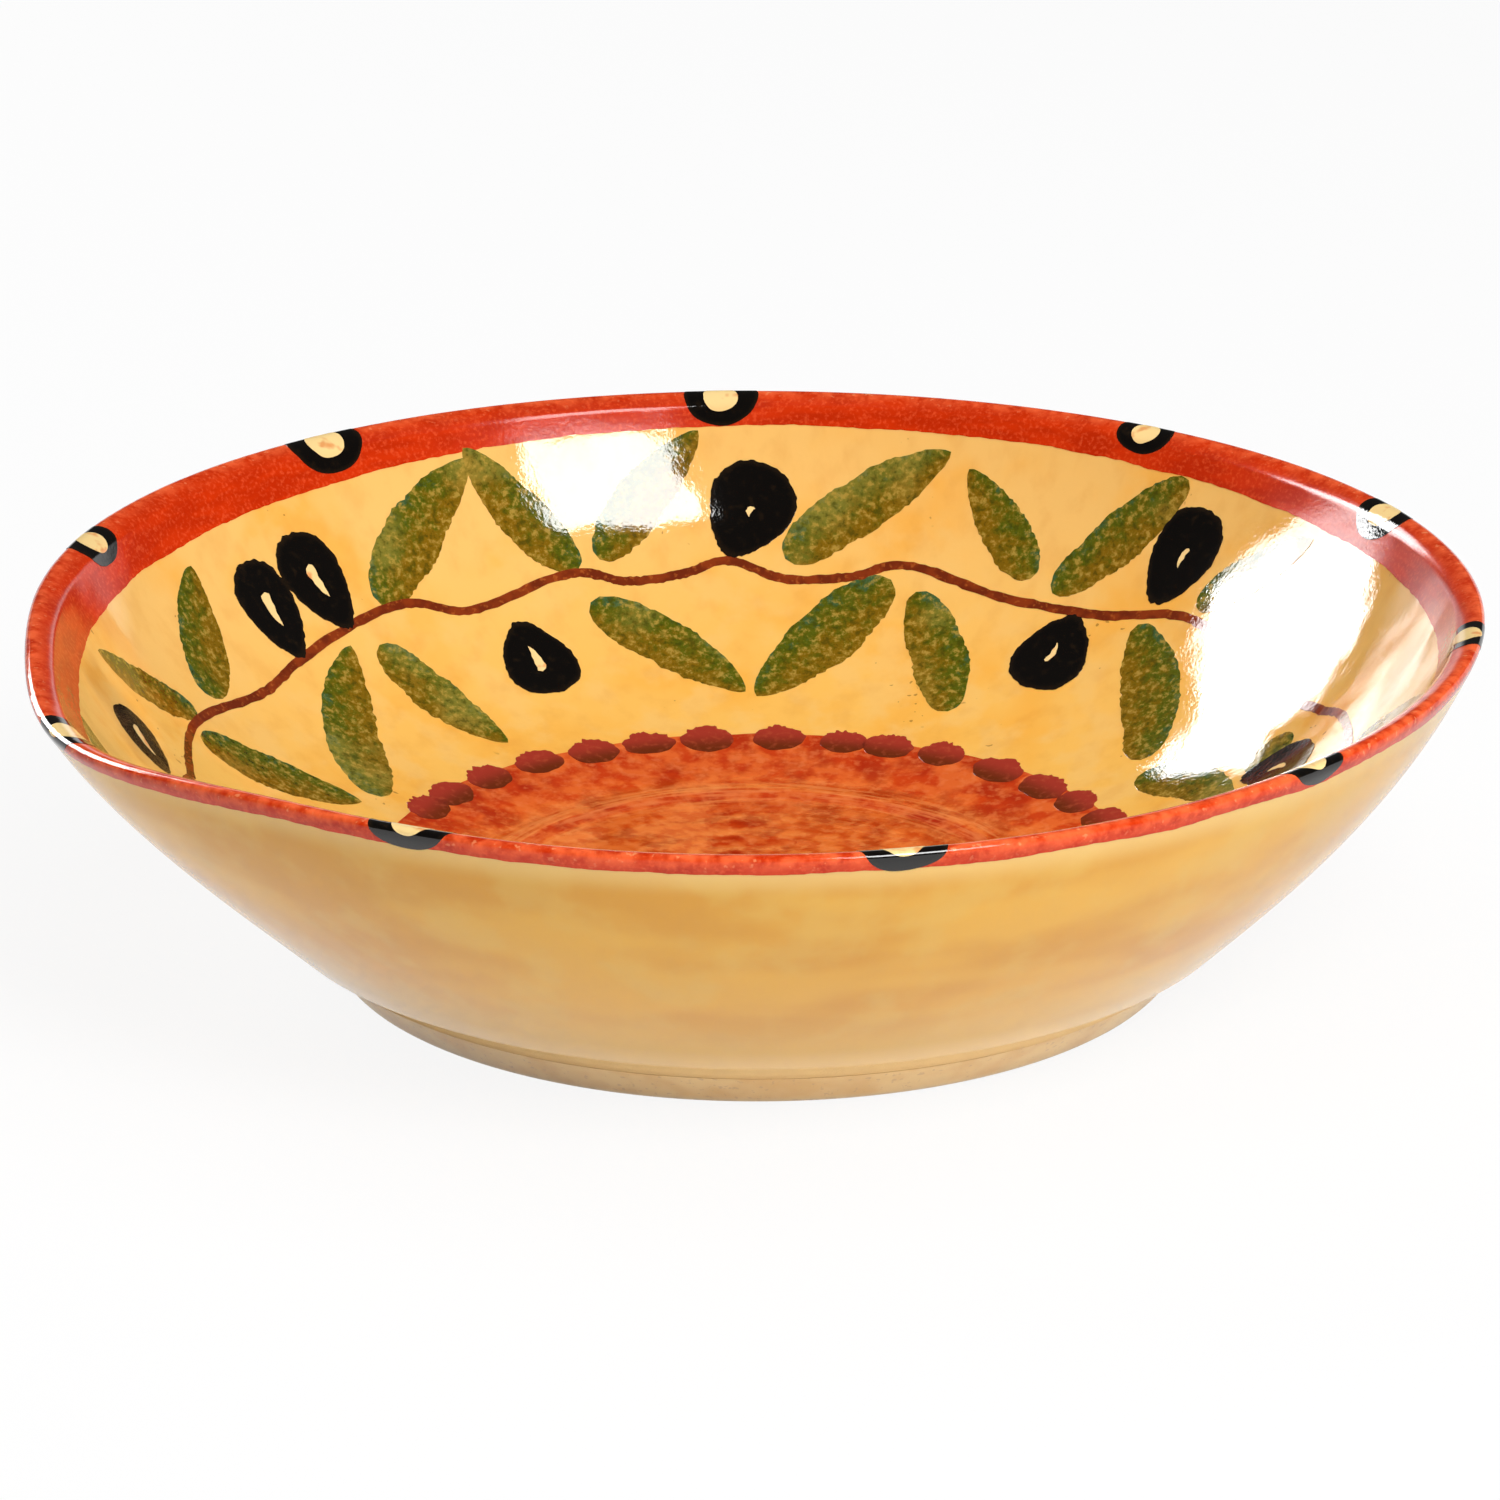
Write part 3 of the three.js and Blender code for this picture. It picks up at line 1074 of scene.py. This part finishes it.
# %% Where the olives lie
# middle angle, middle drop, tip angle, tip drop, width, glint length, glint width
OLIVES_LEFT = [
    (145.2, 28.6, 145.5, 41.5, 15.5, 8.5, 2.6),
    (138, 26.2, 137.2, 39, 16, 8.5, 2.6),
    (182.4, 30, 185.1, 37.9, 14.2, 8.5, 2.4),
    (193.5, 57, 193.9, 46.5, 16.5, 7.5, 2.4),
]
OLIVES_RUN = [
    (117, 58, 117.6, 47, 17, 7.5, 2.4),
    (90.7, 23.5, 92.8, 35, 19.5, 2.6, 1.5),
    (45, 22, 45.7, 34.5, 17, 5, 1.5),
    (54, 52.5, 53.7, 41.5, 17.5, 5.5, 1.4),
]
OLIVES_RIGHT = [(9, 52, 12, 60, 14, 5, 1.5)]

all_olives = OLIVES_LEFT + OLIVES_RUN + OLIVES_RIGHT + turned_run(OLIVES_RUN)
print(len(all_olives), "olives")

# %% Press the olives
OLIVE_LIFT = 0.13
OLIVE_LAYER = 0.02
OLIVE_GRID = (24, 24)
OLIVE_POINT = 0.10
OLIVE_TAPER = 0.24
OLIVE_UNEVEN = 0.03
OLIVE_FRAY = 0.05
GLINT_LIFT = 0.20
GLINT_GRID = (16, 4)
GLINT_FULL = 1.7
GLINT_ROUND = 0.25
GLINT_TAPER = 0.8
GLINT_UNEVEN = 0.5
GLINT_CURL = 0.6
GLINT_SHIFT = 0.5


def press_olive(work, glints, seed, olive):
    degrees, drop, tip_degrees, tip_drop, width, glint_length, glint_width = olive
    right = math.radians(tip_degrees - degrees) * inside_radius(drop)
    reach = Vector((right, tip_drop - drop))
    half_length = reach.length
    slope = reach.normalized()

    def placed(along, across):
        return beside(degrees, drop, slope.x * along - slope.y * across, slope.y * along + slope.x * across)

    def olive_spot(x, y):
        u, v = rounded(x, y)
        edge = math.hypot(u, v)
        uneven = OLIVE_UNEVEN * ragged(seed + 30, 2 * u, 2 * v)
        uneven += OLIVE_FRAY * ragged(seed + 40, 8 * u, 8 * v)
        swell = 1 + edge * uneven
        along = swell * half_length * u * (1 + OLIVE_POINT * max(0, u) ** 5) / (1 + OLIVE_POINT)
        across = swell * width / 2 * v * (1 - OLIVE_TAPER * u)
        return *placed(along, across), edge

    def glint_spot(x, y):
        share = (x + 1) / 2
        uneven = 1 + GLINT_UNEVEN * ragged(seed + 50, 2.5 * x, y)
        sliver = GLINT_FULL * share**GLINT_ROUND * (1 - share) ** GLINT_TAPER * uneven
        across = GLINT_CURL * x * x + glint_width / 2 * y * sliver
        return *placed(GLINT_SHIFT + glint_length / 2 * x, across), y

    lay_sheet(work, *OLIVE_GRID, OLIVE_LIFT + OLIVE_LAYER * (seed % 2), olive_spot)
    lay_sheet(glints, *GLINT_GRID, GLINT_LIFT, glint_spot)


olives = new_paint()
glints = new_paint()
for number, olive in enumerate(all_olives):
    press_olive(olives, glints, number, olive)
keep_piece(dry(olives), "olives", "olive_paint", olive_paint)
keep_piece(dry(glints), "olive_glints", "yellow_glaze", pale_glaze)

# %% [markdown]
# ## Olives on the rim
# Ten more olives sit astride the lip: a black loop, half inside and half outside, round a yellow eye.
# They are measured along the section from the crest of the lip, so they bend over it as the paint did.

# %% Press the rim olives
# angle and size
RIM_OLIVES = [
    (24.5, 0.95),
    (53.5, 0.8),
    (93.3, 1.0),
    (131, 1.1),
    (163, 0.92),
    (206, 1.0),
    (243, 1.08),
    (281, 1.05),
    (318.5, 1.0),
    (353, 0.9),
]
LOOP_LENGTH = 17.5
LOOP_ACROSS = 13.8
EYE_LENGTH = 8.5
EYE_ACROSS = 7.6
INWARD = 1.3
LOOP_LIFT = 0.18
EYE_LIFT = 0.24
LOOP_GRID = (24, 44)
LOOP_UNEVEN = 0.07
LOOP_SEED = 70
EYE_SEED = 90


def press_on_lip(work, seed, degrees, length, across, lift):
    def spot(x, y):
        u, v = rounded(x, y)
        swell = 1 + LOOP_UNEVEN * math.hypot(u, v) * ragged(seed, 1.3 * u, 1.3 * v)
        around = degrees + math.degrees(swell * u * length / 2 / RIM_RADIUS)
        return around, lip_crest + INWARD + swell * v * across / 2, math.hypot(u, v)

    lay_sheet(work, *LOOP_GRID, lift, spot)


loops = new_paint()
eyes = new_paint()
for number, (degrees, size) in enumerate(RIM_OLIVES):
    press_on_lip(loops, LOOP_SEED + number, degrees, size * LOOP_LENGTH, size * LOOP_ACROSS, LOOP_LIFT)
    press_on_lip(eyes, EYE_SEED + number, degrees, size * EYE_LENGTH, size * EYE_ACROSS, EYE_LIFT)
keep_piece(dry(loops), "rim_olives", "olive_paint", olive_paint)
keep_piece(dry(eyes), "rim_olive_eyes", "yellow_glaze", pale_glaze)

# %% [markdown]
# ## Floor, light and camera
# The bowl stands on a white floor in a dim room, with a low white wall far off. A glossy bowl mirrors
# its lamps, so they are hung where the mirror images fall: a softbox in front on the right makes the
# pale patch on the back wall, and a broad one behind on the left makes the glare on the right wall. That
# one is split, as a lamp can be in Blender: a dim softbox gives its light, and two bright sheets that
# only mirrors see give its outline. The two fills, one overhead and one low in front, light the bowl and
# aren't mirrored at all.

# %% The white floor
FLOOR_RADIUS = 4.0
FLOOR_SIDES = 96

work = bmesh.new()
bmesh.ops.create_circle(work, cap_ends=True, radius=FLOOR_RADIUS, segments=FLOOR_SIDES)
floor_mesh = bpy.data.meshes.new("white_floor")
work.to_mesh(floor_mesh)
work.free()
white_floor = bpy.data.objects.new("white_floor", floor_mesh)
bpy.context.collection.objects.link(white_floor)
print("floor radius", FLOOR_RADIUS, "m")

# %% Floor finish
WHITE = (1, 1, 1, 1)
FLOOR_WHITE = colour(236, 236, 236)
FLOOR_GLOW = 0.9


def seen_rays(net):
    """One for rays from the camera, a mirror or a clear coat, zero for light on its way to a surface."""
    path = add_node(net, "LightPath", {})
    inputs = {0: path.outputs["Is Camera Ray"], 1: path.outputs["Is Glossy Ray"]}
    seen = add_node(net, "Math", inputs, operation="ADD")
    inputs = {0: seen.outputs[0], 1: path.outputs["Is Transmission Ray"]}
    return add_node(net, "Math", inputs, operation="ADD", use_clamp=True).outputs[0]


floor_finish = bpy.data.materials.new("white_floor")
floor_finish.use_nodes = True
net = floor_finish.node_tree
net.nodes.clear()
white = add_node(net, "BsdfDiffuse", {"Color": FLOOR_WHITE})
glow = add_node(net, "Emission", {"Color": WHITE, "Strength": 1.0})
share = times(net, seen_rays(net), FLOOR_GLOW)
both = add_node(net, "MixShader", {0: share, 1: white.outputs[0], 2: glow.outputs[0]})
add_node(net, "OutputMaterial", {"Surface": both.outputs[0]})
floor_mesh.materials.append(floor_finish)
print("floor finish mixed from", len(net.nodes), "nodes")

# %% The room
ROOM_LIGHT = 0.05
HORIZON_WHITE = 0.12
HORIZON_END = 0.2

room = bpy.data.worlds.new("studio")
room.use_nodes = True
net = room.node_tree
background = net.nodes["Background"]
background.inputs["Color"].default_value = WHITE
view = add_node(net, "TexCoord", {}).outputs["Generated"]
low = between(net, height_of(net, view), HORIZON_END, HORIZON_WHITE)
share = times(net, low, seen_rays(net))
strength = add_node(net, "MapRange", {"Value": share, "To Min": ROOM_LIGHT, "To Max": 1.0})
net.links.new(strength.outputs[0], background.inputs["Strength"])
bpy.context.scene.world = room
print("room light", ROOM_LIGHT)

# %% Helpers for the lamps
LAMP_AIM = Vector((0, 0, 0.05))


def hang_lamp(name, azimuth, elevation, distance, size, brightness, shift=(0, 0), roll=0):
    """A lamp that faces the bowl, shifted on its own plane; brightness is that of its face."""
    turn, tilt = math.radians(azimuth), math.radians(elevation)
    out = Vector((math.cos(tilt) * math.cos(turn), math.cos(tilt) * math.sin(turn), math.sin(tilt)))
    side = Vector((0, 0, 1)).cross(out).normalized()
    lamp = bpy.data.lights.new(name, "AREA")
    lamp.shape = "RECTANGLE"
    lamp.size, lamp.size_y = size
    lamp.energy = brightness * math.pi * size[0] * size[1]
    holder = bpy.data.objects.new(name, lamp)
    holder.location = LAMP_AIM + out * distance + side * shift[0] + out.cross(side) * shift[1]
    facing_bowl = out.to_track_quat("Z", "Y") @ Quaternion((0, 0, 1), math.radians(roll))
    holder.rotation_euler = facing_bowl.to_euler()
    holder.visible_camera = False
    bpy.context.collection.objects.link(holder)
    print(name, "at", [round(v, 2) for v in holder.location], f"{lamp.energy:.1f} W")
    return holder


def make_oval(holder):
    holder.data.shape = "ELLIPSE"
    holder.data.energy *= math.pi / 4


print("lamps face", list(LAMP_AIM))

# %% Hang the lamps that light the bowl
# azimuth and elevation, in degrees
FRONT_RIGHT = (-64.6, 38.1)
BACK_LEFT = (140, 26.5)
OVERHEAD = (-30, 68)
LOW_FRONT = (-68, 14)

hang_lamp(
    "front_softbox", *FRONT_RIGHT, distance=1.5, size=(0.58, 0.60), brightness=16, shift=(0.07, 0.13)
)
back_softbox = hang_lamp(
    "back_softbox", *BACK_LEFT, distance=1.5, size=(1.28, 0.66), brightness=3.8, shift=(-0.07, 0.10)
)
make_oval(back_softbox)
overhead_fill = hang_lamp("overhead_fill", *OVERHEAD, distance=2.2, size=(2.4, 2.4), brightness=1.45)
low_fill = hang_lamp("low_fill", *LOW_FRONT, distance=2.4, size=(2.0, 0.8), brightness=1.7)
for unmirrored in (back_softbox, overhead_fill, low_fill):
    unmirrored.visible_glossy = False

# %% Hang the sheets that only mirrors see
SHEEN = 13

sheen_high = hang_lamp(
    "back_sheen_high",
    *BACK_LEFT,
    distance=1.35,
    size=(1.043, 0.293),
    brightness=SHEEN,
    shift=(-0.142, 0.154),
    roll=2,
)
sheen_low = hang_lamp(
    "back_sheen_low",
    *BACK_LEFT,
    distance=1.33,
    size=(0.967, 0.614),
    brightness=SHEEN,
    shift=(-0.009, 0.051),
    roll=15,
)
make_oval(sheen_low)
for mirrored_only in (sheen_high, sheen_low):
    mirrored_only.visible_diffuse = False

# %% The camera
CAMERA_PLACE = Vector((0, -1503.7, 586.7)) * MM
CAMERA_TARGET = Vector((-1.4, 1.3, 43.5)) * MM
LENS = 181.25
SENSOR_WIDTH = 36

lens = bpy.data.cameras.new("camera")
lens.lens = LENS
lens.sensor_width = SENSOR_WIDTH
camera = bpy.data.objects.new("camera", lens)
camera.location = CAMERA_PLACE
camera.rotation_euler = (CAMERA_TARGET - CAMERA_PLACE).to_track_quat("-Z", "Y").to_euler()
bpy.context.collection.objects.link(camera)
bpy.context.scene.camera = camera
bpy.context.scene.view_settings.view_transform = "Standard"
print("camera", round((CAMERA_TARGET - CAMERA_PLACE).length, 3), "m from its target")
